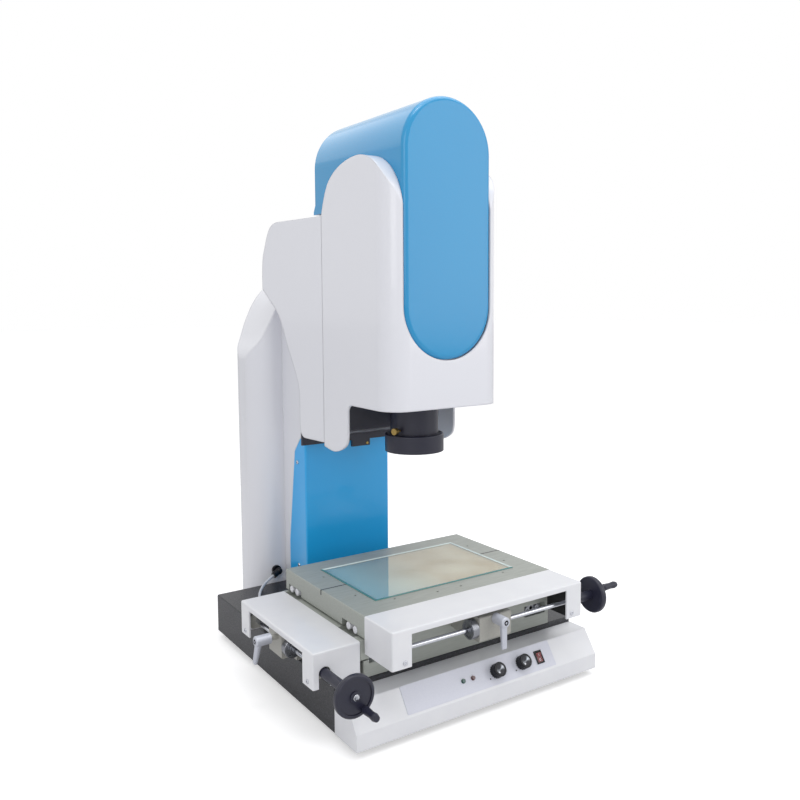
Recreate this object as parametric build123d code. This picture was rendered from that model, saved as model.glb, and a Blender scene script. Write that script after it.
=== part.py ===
from build123d import *
import math
import os

# A manual video measuring microscope on a granite base: a glass stage that two hand wheels move
# left-right (x) and front-back (y), and a measuring head that a third wheel moves up and down (z).
# The drawing is in millimetres. x runs right from the lens axis, y runs back from the front edge of
# the base, and z runs up from the granite's underside. At the end each piece is moved so that the
# origin lies on the bench, under the middle of the machine.

# Base
base_width = 517.0
granite_front = 69.0
granite_back = 580.0
granite_height = 78.0
granite_chamfer = 2.0
foot_height = 12.0
foot_radius = 20.0
foot_inset = 65.0
stud_radius = 4.0
stud_depth = 14.0
fit = 0.05
gap = 0.3
far = 2000.0
light_radius = 46.0
light_bottom = 18.0
light_top = 70.0
lens_radius = 31.0
lens_depth = 34.0

# Front cover of the base and its control panel
cover_face = 27.5
ridge_y = 28.6
ridge_z = 67.7
cover_wall = 2.5
panel_left = -162.0
panel_right = 160.0
panel_foot = 4.0
panel_height = 45.0
panel_thick = 1.2
control_row = 25.3
knob_radius = 12.4
knob_height = 15.3
knob_flutes = 18
knob_shaft = 3.0
surface_knob_x = 28.0
contour_knob_x = 86.3
can_radius = 8.0
can_length = 10.0
switch_x = 128.0
switch_width = 17.0
switch_length = 23.0
switch_rim = 1.6
switch_wall = 1.0
switch_tilt = 7.0
switch_body = 10.0
rocker_pin = 0.9
rocker_depth = 1.0
led_row = 26.7
green_led_x = -42.5
red_led_x = -22.0
led_radius = 3.0

# Stage: three plates with crossed-roller rails between them
lens_y = 222.0
plate_half = 203.0
plate_front = 67.0
plate_back = 360.0
stage_base_height = 28.5
middle_height = 33.1
top_height = 38.5
plate_gap = 2.0
glass_width = 306.0
glass_depth = 200.0
glass_thick = 5.5
glass_y = 215.0
glass_ledge = 10.0
rail_channel = 51.0
rail_width = 22.0
rail_slit = 2.0
rail_sink = 6.0
rail_height = 20.4
rail_screw = 4.5
rail_groove = 5.6
x_rail_length = 380.0
y_rail_length = 266.0
x_rail_front = 116.0
x_rail_back = 322.0
y_rail_x = 168.0
stage_hole_radius = 2.2
stage_hole_depth = 12.0
stage_holes = [(167, 276), (167, 159), (-167, 276), (-167, 159), (120, 106), (11, 92), (-120, 106), (-40, 92)]
stage_slit = 2.0
stage_slit_depth = 3.0
stage_hook_depth = 9.0

# Covers and hand wheels of the stage drives
sheet = 3.0
x_cover_front = -16.0
x_cover_bottom = 119.6
x_window_half = 166.4
x_window_top = 172.3
rod_radius = 4.0
x_rod_y = 5.0
x_rod_z = 142.0
y_cover_left = -296.0
y_cover_right = -211.0
y_cover_front = 68.5
y_cover_back = 356.0
y_cover_bottom = 82.2
y_window_front = 104.8
y_window_back = 319.4
y_window_top = 132.0
y_rod_x = -275.0
y_rod_z = 106.0
notch_radius = 10.5
sleeve_radius = 8.5
wheel_radius = 33.5
wheel_thick = 11.0
wheel_dish = 1.6
x_wheel_back = 246.0
y_wheel_back = -18.5
crank_reach = 25.0
crank_length = 36.0
crank_radius = 6.5
crank_pin = 2.5
x_crank_angle = -130.0
y_crank_angle = -58.0
cover_screw = 4.2
cover_screw_x = 179.0
cover_screw_z = 128.5
y_screw_places = (87.0, 337.0)
y_screw_z = 91.0
bush_radius = 8.0
bush_length = 14.0

# Rolling-ring blocks with their clamp levers
ring_radius = 16.5
ring_thick = 13.0
ring_bore = rod_radius + gap
x_block_left = -27.0
x_block_right = 41.0
x_block_front = -10.0
x_block_bottom = 122.0
x_block_top = 163.0
y_block_left = -291.0
y_block_front = 193.5
y_block_back = 243.5
y_block_bottom = 87.0
y_block_top = 129.0
lever_stud = 4.5
lever_hub = 9.0
lever_hub_length = 28.0
lever_arm = 46.0
x_lever_x = 7.0
x_lever_z = 157.0
y_lever_y = 211.0
y_lever_z = 121.0
y_lever_lean = 18.0

# Column
core_half = 90.0
core_front = 479.0
core_wall = 12.0
core_top = 688.0
core_slot = 22.0
slot_bottom = 420.0
panel_half = 101.0
panel_front = 476.0
panel_top = 403.0
panel_wall = 3.0
panel_back = 555.0
panel_back_top = 173.0
panel_slant_y = 525.0
panel_slant_top = 373.0
panel_top_depth = 22.0
panel_screw_y = 512.0
panel_screw_z = (351.0, 130.0)
rib_heights = (200.0, 320.0)
z_rail_x = 55.0
z_rail_width = 15.0
z_rail_depth = 14.0
housing_half = 163.0
housing_front = granite_back
housing_back = 720.0
housing_bottom = 10.0
housing_straight = 565.0
housing_top = 722.0
housing_flat = 58.0
housing_arch = ((16.5, 603), (29.5, 630), (42.0, 656), (55.5, 682), (75.5, 709))
housing_corner = 55.0
housing_wall = 4.0
cheek_thick = 10.7

# Head
hood_half = 93.0
hood_front = 112.0
hood_back = 430.0
hood_low = 678.0
hood_high = 944.0
hood_wall = 3.0
hood_edge = 9.0
hood_rear_low = 858.0
hood_lip = 7.0
shell_half = 122.0
shell_rear_half = 145.0
shell_wall = 4.0
shell_corner = 40.0
shell_turn = 351.0
shell_back = 574.0
shell_back_low = 437.0
seam_width = 1.2
seam_depth = 0.8
shell_nape = 740.0
shell_nape_low = 714.0
shell_nape_curve = ((26.0, 692.0), (51.0, 672.0), (72.0, 645.0), (89.0, 610.0), (114.0, 563.0))
shell_tail = 472.0
skirt_bottom = 500.0
skirt_y = 244.0
lobe_front = 258.0
lobe_bottom = 406.6
lobe_seam = 411.0
flank_bottom = 418.0
flank_corner = 20.0
shoulder_top = 848.0
shoulder_back = 508.0
arch_y = 216.0
arch_z = 830.0
arch_height = 111.0
tunnel_front = 425.0
tunnel_half = 113.0
dust_half = 120.0
dust_thick = 6.0
dust_low = 397.0
dust_high = 536.0
dust_lap = 6.0
dust_tab = (-4.0, 39.0)
dust_tab_drop = 14.0
ring_light_radius = 55.0
ring_light_bottom = 410.0
ring_light_height = 33.0
tube_radius = 45.0
tube_top = 512.0
barrel_radius = 28.0
barrel_top = 650.0
zoom_ring_low = 530.0
zoom_ring_high = 556.0
zoom_ring_radius = 37.0
camera_side = 58.0
camera_height = 62.0
camera_fin = 3.0
camera_fin_step = 8.0
camera_fins = 6
clamp_z = 452.0
clamp_turn = 20.0
bracket_low = 575.0
bracket_high = 600.0
carriage_half = 78.0
carriage_front = 436.0
carriage_thick = 14.0
carriage_low = 560.0
carriage_high = 690.0

# Drive of the head: a rack on the carriage and a pinion on the wheel shaft
tooth_module = 2.0
pinion_teeth = 15
rack_low = 400.0
rack_high = 620.0
z_shaft_z = 435.0
z_shaft_radius = 6.0
z_wheel_stand = 9.0
rack_half = 10.0

# Cable of the stage scale
cable_radius = 2.8
cable_points = [
    (-139.0, 562.0, 100.0), (-151.0, 559.0, 95.0), (-164.0, 554.0, 88.5), (-176.0, 543.0, 82.6),
    (-186.0, 527.0, 81.2), (-196.0, 506.0, 81.0), (-201.0, 484.0, 81.4), (-201.0, 466.0, 83.4),
]

stage_base_top = granite_height + stage_base_height
middle_bottom = stage_base_top + plate_gap
middle_top = middle_bottom + middle_height
top_bottom = middle_top + plate_gap
stage_top = top_bottom + top_height
x_roller_z = (middle_top + middle_top - rail_sink + rail_height) / 2
x_screw_z = middle_top + gap + rail_screw
y_roller_z = stage_base_top - rail_sink + rail_height / 2
z_wheel_back = housing_half + z_wheel_stand
z_shaft_y = (housing_front + housing_back) / 2
pitch_radius = tooth_module * pinion_teeth / 2


def block(x, y, z):
    size = [b - a for a, b in (x, y, z)]
    corner = (x[0], y[0], z[0])
    return Pos(*corner) * Box(*size, align=(Align.MIN, Align.MIN, Align.MIN))


def rod_x(y, z, radius, x0, x1):
    return Pos((x0 + x1) / 2, y, z) * Rot(0, 90, 0) * Cylinder(radius, x1 - x0)


def rod_y(x, z, radius, y0, y1):
    return Pos(x, (y0 + y1) / 2, z) * Rot(90, 0, 0) * Cylinder(radius, y1 - y0)


def rod_z(x, y, radius, z0, z1):
    return Pos(x, y, (z0 + z1) / 2) * Cylinder(radius, z1 - z0)


def prism_x(outline, x0, x1):
    # The outline is drawn in (y, z).
    return extrude(Plane.YZ.offset(x0) * outline, x1 - x0)


def prism_y(outline, y0, y1):
    # The outline is drawn in (x, z).
    return extrude(Plane.XZ.offset(-y1) * outline, y1 - y0)


def prism_z(outline, z0, z1):
    return extrude(Plane.XY.offset(z0) * outline, z1 - z0)


def polygon(*points):
    return make_face(Polyline(*points, close=True))


def both_sides(shape):
    return shape + mirror(shape, Plane.YZ)


# The control panel lies on the slope: x as before, then up the slope, then out of it.
slope_length = math.hypot(ridge_y, ridge_z - cover_face)
slope = Plane(
    origin=(0, 0, cover_face),
    x_dir=(1, 0, 0),
    z_dir=(0, -(ridge_z - cover_face) / slope_length, ridge_y / slope_length),
)


# Base
def granite_base():
    half = base_width / 2
    slab = block((-half, half), (granite_front, granite_back), (0, granite_height))
    slab = chamfer(slab.edges(), granite_chamfer)
    slab -= rod_z(0, lens_y, light_radius + fit, light_bottom, granite_height + 1)
    for x, y in foot_places():
        slab -= rod_z(x, y, stud_radius + fit, -1, stud_depth + gap)
    return slab


def foot_places():
    half = base_width / 2 - foot_inset
    rows = (granite_front + foot_inset, granite_back - foot_inset)
    return [(x, y) for y in rows for x in (-half, half)]


def levelling_feet():
    pad = Cylinder(foot_radius, foot_height, align=(Align.CENTER, Align.CENTER, Align.MAX))
    pad = chamfer(pad.edges(), 1.5)
    foot = pad + rod_z(0, 0, stud_radius, -1, stud_depth)
    return [Pos(x, y, 0) * foot for x, y in foot_places()]


def front_cover():
    # The inner outline is the outer one moved in by the wall.
    half = base_width / 2
    w = cover_wall
    rise = ridge_z - cover_face
    outer = polygon(
        (0, 0), (0, cover_face), (ridge_y, ridge_z), (granite_front, ridge_z), (granite_front, 0),
    )
    top = ridge_z - w
    knee = cover_face - w * (slope_length - rise) / ridge_y
    lean = ridge_y + w * (slope_length - ridge_y) / rise
    back = granite_front + 1
    inner = polygon((w, -1), (w, knee), (lean, top), (back, top), (back, -1))
    shell = prism_x(outer, -half, half)
    shell = fillet(shell.edges().filter_by(Axis.X).group_by(Axis.Z)[-1].sort_by(Axis.Y)[0], 3)
    shell -= prism_x(inner, -half + w, half - w)
    return shell - control_holes()


def control_holes():
    # What the potentiometer shafts, the lamps and the switch need through the cover and its panel.
    deep = 4 * cover_wall + 2
    shaft_hole = Cylinder(knob_shaft + 0.5, deep)
    lamp_hole = Cylinder(led_radius + 0.2, deep)
    rim = 2 * switch_rim - 2 * gap
    switch_hole = Box(switch_width - rim, switch_length - rim, deep)
    holes = [slope * Pos(x, control_row, 0) * shaft_hole for x in (surface_knob_x, contour_knob_x)]
    holes += [slope * Pos(x, led_row, 0) * lamp_hole for x in (green_led_x, red_led_x)]
    holes += [slope * Pos(switch_x, control_row, 0) * switch_hole]
    return Compound(children=holes)


def control_panel():
    width = panel_right - panel_left
    middle = (panel_left + panel_right) / 2
    sketch = RectangleRounded(width, panel_height, 2)
    plate = slope * Pos(middle, panel_foot + panel_height / 2, 0) * extrude(sketch, panel_thick)
    return plate - control_holes()


def knob():
    body = Pos(0, 0, knob_height / 2) * Cylinder(knob_radius, knob_height)
    body = fillet(body.edges().group_by(Axis.Z)[-1], 1.2)
    flute = Pos(knob_radius + 1.2, 0, 0) * Cylinder(2, 2 * knob_height - 7)
    for i in range(knob_flutes):
        body -= Rot(0, 0, i * 360 / knob_flutes) * flute
    body -= Pos(0, 0, knob_height) * Cylinder(knob_radius - 4, 1.2)
    body -= Cylinder(knob_shaft + fit, 2 * knob_height - 8)
    return Pos(0, 0, panel_thick + 0.5) * body


def surface_knob():
    return slope * Pos(surface_knob_x, control_row, 0) * knob()


def contour_knob():
    return slope * Pos(contour_knob_x, control_row, 0) * knob()


def dimmer_potentiometers():
    reach = panel_thick + 0.5 + knob_height - 5
    can = rod_z(0, 0, can_radius, -cover_wall - can_length, -cover_wall)
    can += rod_z(0, 0, knob_shaft, -can_length, reach)
    return [slope * Pos(x, control_row, 0) * can for x in (surface_knob_x, contour_knob_x)]


def led(x):
    shank = Cylinder(led_radius, 10) + Pos(0, 0, panel_thick + 0.6) * Cylinder(led_radius + 1, 1.2)
    dome = Pos(0, 0, panel_thick + 1.2) * Sphere(led_radius - 0.4)
    dome -= Pos(0, 0, panel_thick + 1.2 - led_radius) * Box(9, 9, 2 * led_radius)
    return slope * Pos(x, led_row, 0) * (shank + dome)


def switch_bezel():
    # The bezel's pin across its mouth carries the rocker.
    width = switch_width - 2 * switch_rim
    length = switch_length - 2 * switch_rim
    rim = rod_box(switch_width, switch_length, panel_thick, panel_thick + 2)
    rim = chamfer(rim.faces().sort_by(Axis.Z)[-1].edges(), 0.6)
    box = rod_box(width, length, -switch_body, panel_thick)
    cut = rod_box(width - 2 * switch_wall, length - 2 * switch_wall, -switch_body + 3, switch_body)
    reach = width / 2 - switch_wall / 2
    pin = rod_x(0, -rocker_depth, rocker_pin, -reach, reach)
    return slope * Pos(switch_x, control_row, 0) * (rim + box - cut + pin)


def rod_box(width, length, z0, z1):
    return Pos(0, 0, z0) * Box(width, length, z1 - z0, align=(Align.CENTER, Align.CENTER, Align.MIN))


def power_rocker():
    width = switch_width - 2 * switch_rim - 2 * switch_wall - 2 * gap
    half = (switch_length - 2 * switch_rim - 2 * switch_wall) / 2 - 0.7
    face = panel_thick + 2.4
    outline = polygon((-half, face), (0, face - 1.2), (half, face), (half - 1.4, -5), (-half + 1.4, -5))
    rocker = prism_x(outline, -width / 2, width / 2)
    rocker -= rod_x(0, -rocker_depth, rocker_pin + fit, -width, width)
    tilted = Pos(0, 0, -rocker_depth) * Rot(switch_tilt, 0, 0) * Pos(0, 0, rocker_depth) * rocker
    return slope * Pos(switch_x, control_row, 0) * tilted


def contour_light_housing():
    body = rod_z(0, lens_y, light_radius, light_bottom, light_top)
    body = chamfer(body.edges().group_by(Axis.Z)[-1], 1.5)
    return body - rod_z(0, lens_y, lens_radius, light_top - lens_depth, light_top + 1)


def contour_condenser_lens():
    rim_top = light_top - 4
    lens = rod_z(0, lens_y, lens_radius - fit, rim_top - 10, rim_top)
    dome = Pos(0, lens_y, rim_top - 66) * Sphere(73)
    return lens + (dome & rod_z(0, lens_y, lens_radius - 2, rim_top, rim_top + 10))


# Stage
def y_channels(z0, z1):
    half = rail_channel / 2
    return both_sides(block((y_rail_x - half, y_rail_x + half), (-far, far), (z0, z1)))


def x_channels(z0, z1):
    half = rail_channel / 2
    cuts = [block((-far, far), (y - half, y + half), (z0, z1)) for y in (x_rail_front, x_rail_back)]
    return cuts[0] + cuts[1]


def stage_base():
    body = block((-plate_half, plate_half), (plate_front + 2.5, plate_back), (granite_height, stage_base_top))
    body = chamfer(body.edges().filter_by(Axis.Z), 2)
    body -= y_channels(stage_base_top - rail_sink, stage_base_top + 1)
    return body - rod_z(0, lens_y, light_radius, granite_height - 1, stage_base_top + 1)


def y_plate():
    body = block((y_cover_right, plate_half), (plate_front + 3, y_cover_back), (middle_bottom, middle_top))
    body = chamfer(body.edges().filter_by(Axis.Z), 2)
    body -= y_channels(middle_bottom - 1, stage_base_top - rail_sink + rail_height + gap)
    body -= x_channels(middle_top - rail_sink, middle_top + 1)
    back = x_rail_back - rail_channel / 2 - 6
    half = light_radius + 64
    return body - block((-half, half), (x_rail_front + rail_channel / 2 + 6, back), (0, far))


def x_plate():
    body = block((-plate_half, plate_half), (plate_front, plate_back), (top_bottom, stage_top))
    body = chamfer(body.edges(), 1)
    body -= x_channels(top_bottom - 2, middle_top - rail_sink + rail_height + gap)
    half = glass_width / 2 + 0.2
    front = glass_y - glass_depth / 2 - 0.2
    back = glass_y + glass_depth / 2 + 0.2
    body -= block((-half, half), (front, back), (stage_top - glass_thick + 0.2, far))
    floor = middle_top - rail_sink + rail_height + 5
    ledge = (-half + glass_ledge, half - glass_ledge)
    body -= block(ledge, (front + glass_ledge, back - glass_ledge), (floor, far))
    low = (x_rail_front + rail_channel / 2 + 4.5, x_rail_back - rail_channel / 2 - 4.5)
    body -= block(ledge, low, (top_bottom - 1, far))
    for x, y in stage_holes:
        body -= rod_z(x, y, stage_hole_radius, stage_top - stage_hole_depth, stage_top + 1)
    slit = (glass_y + 1.2, glass_y + 1.2 + stage_slit)
    for side in (-1, 1):
        inner, outer = sorted((side * half, side * (plate_half + 1)))
        body -= block((inner, outer), slit, (stage_top - stage_slit_depth, far))
    hook = (-plate_half - 1, -plate_half + stage_slit_depth)
    return body - block(hook, slit, (stage_top - stage_hook_depth, far))


def stage_glass():
    low = stage_top - glass_thick + 0.2
    body = Pos(0, glass_y, low + glass_thick / 2) * Box(glass_width, glass_depth, glass_thick)
    return chamfer(body.edges(), 0.5)


def rail(length, low, high, roller, screw):
    # One rail of a crossed-roller pair, along x from the middle, with its groove on the -y side.
    # The last four are heights: of its two faces, of its groove and of its end screws.
    body = Box(length, rail_width, high - low, align=(Align.CENTER, Align.MIN, Align.MIN))
    groove = Rot(45, 0, 0) * Box(length + 2, rail_groove, rail_groove)
    body -= Pos(0, 0, roller - low) * groove
    socket = Rot(0, 90, 0) * extrude(RegularPolygon(0.45 * rail_screw, 6), 1.2, both=True)
    for end in (-1, 1):
        head = Rot(0, 90, 0) * Cylinder(rail_screw, 3) - Pos(end * 1.5, 0, 0) * socket
        body += Pos(end * (length / 2 + 1.5), rail_width / 2, screw - low) * head
    return Pos(0, 0, low) * body


def rail_pair_x(y, facing):
    # The fixed rail is on the outer side of the pair and lies in a channel of the middle plate.
    # The moving one, on the inner side, stays above that plate and the cover beside it.
    low = middle_top - rail_sink
    high = low + rail_height
    fixed = mirror(rail(x_rail_length, low, high - gap, x_roller_z, x_screw_z), Plane.XZ)
    moving = rail(x_rail_length, middle_top + gap, high, x_roller_z, x_screw_z)
    fixed = Pos(0, y - rail_slit / 2, 0) * fixed
    moving = Pos(0, y + rail_slit / 2, 0) * moving
    if facing < 0:
        middle = Plane.XZ.offset(-y)
        fixed = mirror(fixed, middle)
        moving = mirror(moving, middle)
    return fixed, moving


def rail_pair_y(x, facing):
    middle = (plate_front + plate_back) / 2
    low = stage_base_top - rail_sink
    high = low + rail_height
    fixed = rail(y_rail_length, low, high - gap, y_roller_z, y_roller_z)
    moving = rail(y_rail_length, low + gap, high, y_roller_z, y_roller_z)
    fixed = Pos(x - rail_slit / 2, middle, 0) * Rot(0, 0, 90) * fixed
    moving = Pos(x + rail_slit / 2, middle, 0) * Rot(0, 0, -90) * moving
    if facing < 0:
        fixed = mirror(fixed, Plane.YZ.offset(x))
        moving = mirror(moving, Plane.YZ.offset(x))
    return fixed, moving


def x_rails(kind):
    pairs = (rail_pair_x(x_rail_front, 1), rail_pair_x(x_rail_back, -1))
    return [pair[kind] for pair in pairs]


def y_rails(kind):
    pairs = (rail_pair_y(-y_rail_x, 1), rail_pair_y(y_rail_x, -1))
    return [pair[kind] for pair in pairs]


# Covers of the two drives
def x_cover():
    half = plate_half
    body = block((-half, half), (x_cover_front, plate_front), (x_cover_bottom, stage_top))
    body = fillet(body.edges().filter_by(Axis.X).sort_by(Axis.Z)[-2:].sort_by(Axis.Y)[0], 3)
    body = fillet(body.edges().filter_by(Axis.Z).sort_by(Axis.Y)[:2], 2.5)
    body -= block((-half + sheet, half - sheet), (x_cover_front + sheet, far), (0, stage_top - sheet))
    wall = (x_cover_front - 1, x_cover_front + sheet + 1)
    body -= block((-x_window_half, x_window_half), wall, (0, x_window_top))
    body -= rod_x(x_rod_y, x_rod_z, bush_radius + fit, 0, half + 1)
    for x in (-cover_screw_x, cover_screw_x):
        body -= rod_y(x, cover_screw_z, 2, *wall)
    return body


def button_screw(radius, height):
    # The head stands on z = 0 and the shank points down.
    head = Cylinder(radius, height, align=(Align.CENTER, Align.CENTER, Align.MIN))
    head = fillet(head.edges().group_by(Axis.Z)[-1], 0.6 * height)
    head -= Pos(0, 0, height) * extrude(RegularPolygon(0.45 * radius, 6), 0.6 * height, both=True)
    return head + Cylinder(1.9, 8, align=(Align.CENTER, Align.CENTER, Align.MAX))


def x_cover_screws():
    screw = Rot(90, 0, 0) * button_screw(cover_screw, 1.6)
    return [Pos(x, x_cover_front, cover_screw_z) * screw for x in (-cover_screw_x, cover_screw_x)]


def x_rod_bearings():
    # Both flanges lie against the cover's walls. The right bush passes through its wall to the hand
    # wheel, and the left one stays inside.
    inner = plate_half - sheet
    flange = rod_x(x_rod_y, x_rod_z, bush_radius + 3, inner - 4, inner)
    bore = rod_x(x_rod_y, x_rod_z, rod_radius + fit, inner - bush_length, inner + bush_length)
    through = flange + rod_x(x_rod_y, x_rod_z, bush_radius, inner - 4, inner - 4 + bush_length)
    inside = flange + rod_x(x_rod_y, x_rod_z, bush_radius, inner - bush_length, inner)
    return [through - bore, mirror(inside - bore, Plane.YZ)]


def y_cover():
    x = (y_cover_left, y_cover_right)
    body = block(x, (y_cover_front, y_cover_back), (y_cover_bottom, middle_top))
    body = fillet(body.edges().filter_by(Axis.Y).sort_by(Axis.Z)[-2:].sort_by(Axis.X)[0], 3)
    body = fillet(body.edges().filter_by(Axis.Z).sort_by(Axis.X)[:2], 2.5)
    inner_y = (y_cover_front + sheet, y_cover_back - sheet)
    body -= block((y_cover_left + sheet, 0), inner_y, (0, middle_top - sheet))
    window_x = (y_cover_left - 1, y_cover_left + sheet + 1)
    body -= block(window_x, (y_window_front, y_window_back), (0, y_window_top))
    wall = (y_cover_front - 1, y_cover_front + sheet + 1)
    body -= rod_y(y_rod_x, y_rod_z, notch_radius, *wall)
    body -= block((y_rod_x - notch_radius, y_rod_x + notch_radius), wall, (0, y_rod_z))
    for y in y_screw_places:
        body -= rod_x(y, y_screw_z, 2, *window_x)
    return body


def y_cover_screws():
    screw = Rot(0, -90, 0) * button_screw(cover_screw, 1.6)
    return [Pos(y_cover_left, y, y_screw_z) * screw for y in y_screw_places]


def y_rod_bearings():
    x = (y_rod_x - 14, y_cover_right)
    blocks = []
    for y0 in (y_cover_front + 12, y_cover_back - 26):
        body = block(x, (y0, y0 + 14), (y_rod_z - 13, y_rod_z + 13))
        body = fillet(body.edges().filter_by(Axis.Y).sort_by(Axis.X)[:2], 6)
        blocks.append(body - rod_y(y_rod_x, y_rod_z, rod_radius + fit, y0 - 1, y0 + 15))
    return blocks


# Drive rods and hand wheels. A wheel is drawn facing +z with its back on z = 0.
def hand_wheel(sleeve_length, crank_angle):
    disc = Cylinder(wheel_radius, wheel_thick, align=(Align.CENTER, Align.CENTER, Align.MIN))
    disc = fillet(disc.edges(), 3.5)
    dish = Cylinder(wheel_radius - 6, 2 * wheel_dish) - Cylinder(9, 2 * wheel_dish)
    disc -= Pos(0, 0, wheel_thick) * dish
    disc += Cylinder(sleeve_radius, sleeve_length + 1, align=(Align.CENTER, Align.CENTER, Align.MAX))
    if crank_angle is not None:
        place = Rot(0, 0, crank_angle) * Pos(crank_reach, 0, wheel_thick - wheel_dish)
        boss = Pos(0, 0, 0.9) * Cylinder(crank_radius - 1, 2 * wheel_dish)
        pin = Cylinder(crank_pin, crank_length - 6, align=(Align.CENTER, Align.CENTER, Align.MIN))
        disc += place * (boss + pin)
    return disc - Cylinder(rod_radius + fit, 400)


def crank(crank_angle):
    # A tapered grip on the wheel's pin, 0.3 mm clear of the boss.
    low = wheel_thick + 1.4
    profile = Polyline(
        (crank_pin + fit, 0), (crank_radius - 1.5, 0), (crank_radius, 5), (crank_radius - 1, 20),
        (crank_radius, crank_length - 6), (crank_radius - 1.5, crank_length),
        (0, crank_length), (0, crank_length - 4), (crank_pin + fit, crank_length - 4), close=True,
    )
    grip = revolve(Plane.XZ * make_face(profile), Axis.Z)
    return Rot(0, 0, crank_angle) * Pos(crank_reach, 0, low) * grip


x_wheel_place = Pos(x_wheel_back, x_rod_y, x_rod_z) * Rot(0, 90, 0)
y_wheel_place = Pos(y_rod_x, y_wheel_back, y_rod_z) * Rot(90, 0, 0)
z_wheel_place = Pos(z_wheel_back, z_shaft_y, z_shaft_z) * Rot(0, 90, 0)
x_sleeve_length = x_wheel_back - plate_half - sheet - 8
y_sleeve_length = y_cover_front + 11 - y_wheel_back


def end_screw(radius):
    # The silver screw in the middle of a wheel, with a hexagon socket.
    head = Cylinder(radius, 2.4, align=(Align.CENTER, Align.CENTER, Align.MIN))
    head = fillet(head.edges().group_by(Axis.Z)[-1], 0.8)
    return head - Pos(0, 0, 2.4) * extrude(RegularPolygon(0.5 * radius, 6), 1.4, both=True)


def x_rod():
    tip = x_wheel_back + wheel_thick
    body = rod_x(x_rod_y, x_rod_z, rod_radius, -plate_half + sheet + 2, tip)
    return body + Pos(tip, x_rod_y, x_rod_z) * Rot(0, 90, 0) * end_screw(rod_radius + 1)


def y_rod():
    tip = y_wheel_back - wheel_thick
    body = rod_y(y_rod_x, y_rod_z, rod_radius, tip, y_cover_back - 7)
    return body + Pos(y_rod_x, tip, y_rod_z) * Rot(90, 0, 0) * end_screw(rod_radius + 1)


# Rolling-ring blocks
def rolling_ring():
    # A ball bearing on the z axis: two races with the shield between them set back.
    ring = Cylinder(ring_radius, ring_thick)
    ring = chamfer(ring.edges(), 0.8)
    for side in (-1, 1):
        track = Cylinder(ring_radius - 4, 3) - Cylinder(ring_bore + 3.5, 3)
        ring -= Pos(0, 0, side * ring_thick / 2) * track
    return ring - Cylinder(ring_bore, 2 * ring_thick)


def x_ring_bearing():
    middle = x_block_left - ring_thick / 2
    return Pos(middle, x_rod_y, x_rod_z) * Rot(0, 90, 0) * rolling_ring()


def y_ring_bearing():
    middle = y_block_front - ring_thick / 2
    return Pos(y_rod_x, middle, y_rod_z) * Rot(90, 0, 0) * rolling_ring()


def x_block():
    x = (x_block_left, x_block_right)
    body = block(x, (x_block_front, plate_front - 4), (x_block_bottom, x_block_top))
    body = chamfer(body.edges().filter_by(Axis.X), 1.5)
    body += block(x, (plate_front - 8, plate_front + 3), (x_block_bottom + 2, middle_top - 1))
    body -= rod_x(x_rod_y, x_rod_z, rod_radius + 1.5, x_block_left - 1, x_block_right + 1)
    stud_end = x_block_front - lever_hub_length + 6
    return body + rod_y(x_lever_x, x_lever_z, lever_stud, stud_end, x_block_front + 1)


def y_block():
    y = (y_block_front, y_block_back)
    body = block((y_block_left, y_rod_x + 17), y, (y_block_bottom, y_block_top))
    body = chamfer(body.edges().filter_by(Axis.Y), 1.5)
    body += block((y_rod_x + 12, y_cover_right - 12), y, (granite_height, granite_height + 20))
    body -= rod_y(y_rod_x, y_rod_z, rod_radius + 1.5, y_block_front - 1, y_block_back + 1)
    stud_end = y_block_left - 12 - lever_hub_length + 6
    return body + rod_x(y_lever_y, y_lever_z, lever_stud, stud_end, y_block_left + 1)


def clamp_lever():
    # The hub's axis is z, its mouth is on z = 0, and the arm reaches down -y at the far end.
    hub = Cylinder(lever_hub, lever_hub_length, align=(Align.CENTER, Align.CENTER, Align.MIN))
    hub = fillet(hub.edges().group_by(Axis.Z)[-1], 3)
    wide = Plane.XZ.offset(2) * Pos(0, lever_hub_length - 8) * RectangleRounded(12, 11, 4)
    narrow = Plane.XZ.offset(lever_arm) * Pos(0, lever_hub_length - 6) * RectangleRounded(10, 7, 3)
    arm = loft([wide, narrow])
    arm = fillet(arm.faces().sort_by(Axis.Y)[0].edges(), 1.5)
    return hub + arm - Cylinder(lever_stud + fit, 2 * (lever_hub_length - 5.5))


def x_lever():
    return Pos(x_lever_x, x_block_front - 0.5, x_lever_z) * Rot(90, 0, 0) * clamp_lever()


def y_lever():
    turned = Rot(0, 0, -90) * Rot(90, 0, 0) * clamp_lever()
    return Pos(y_block_left - 12.5, y_lever_y, y_lever_z) * Rot(y_lever_lean, 0, 0) * turned


# Column
def column_core():
    back = granite_back - 0.5
    body = block((-core_half, core_half), (core_front, back), (granite_height, core_top))
    inside = (-core_half + core_wall, core_half - core_wall)
    body -= block(inside, (core_front + core_wall, back + 1), (granite_height + 16, core_top + 1))
    wall = (core_front - 1, core_front + core_wall + 1)
    body -= block((-core_slot, core_slot), wall, (slot_bottom, core_top + 1))
    for z in rib_heights:
        body += block(inside, (core_front + core_wall, core_front + 50), (z, z + core_wall))
    return body


def column_panel():
    front = [(panel_front, granite_height), (panel_front, panel_top)]
    side = make_face(Polyline(*panel_rear(0), *reversed(front), close=True))
    body = prism_x(side, -panel_half, panel_half)
    body = fillet(body.edges().filter_by(Axis.Z).sort_by(Axis.Y)[:2], 4)
    inner_y = (panel_front + panel_wall, far)
    inner_x = (-panel_half + panel_wall, panel_half - panel_wall)
    body -= block(inner_x, inner_y, (0, panel_top - panel_wall))
    body -= block((-core_half - gap, core_half + gap), inner_y, (0, panel_top + 1))
    for z in panel_screw_z:
        body -= rod_x(panel_screw_y, z, 2, -panel_half - 1, panel_half + 1)
    return body


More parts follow.
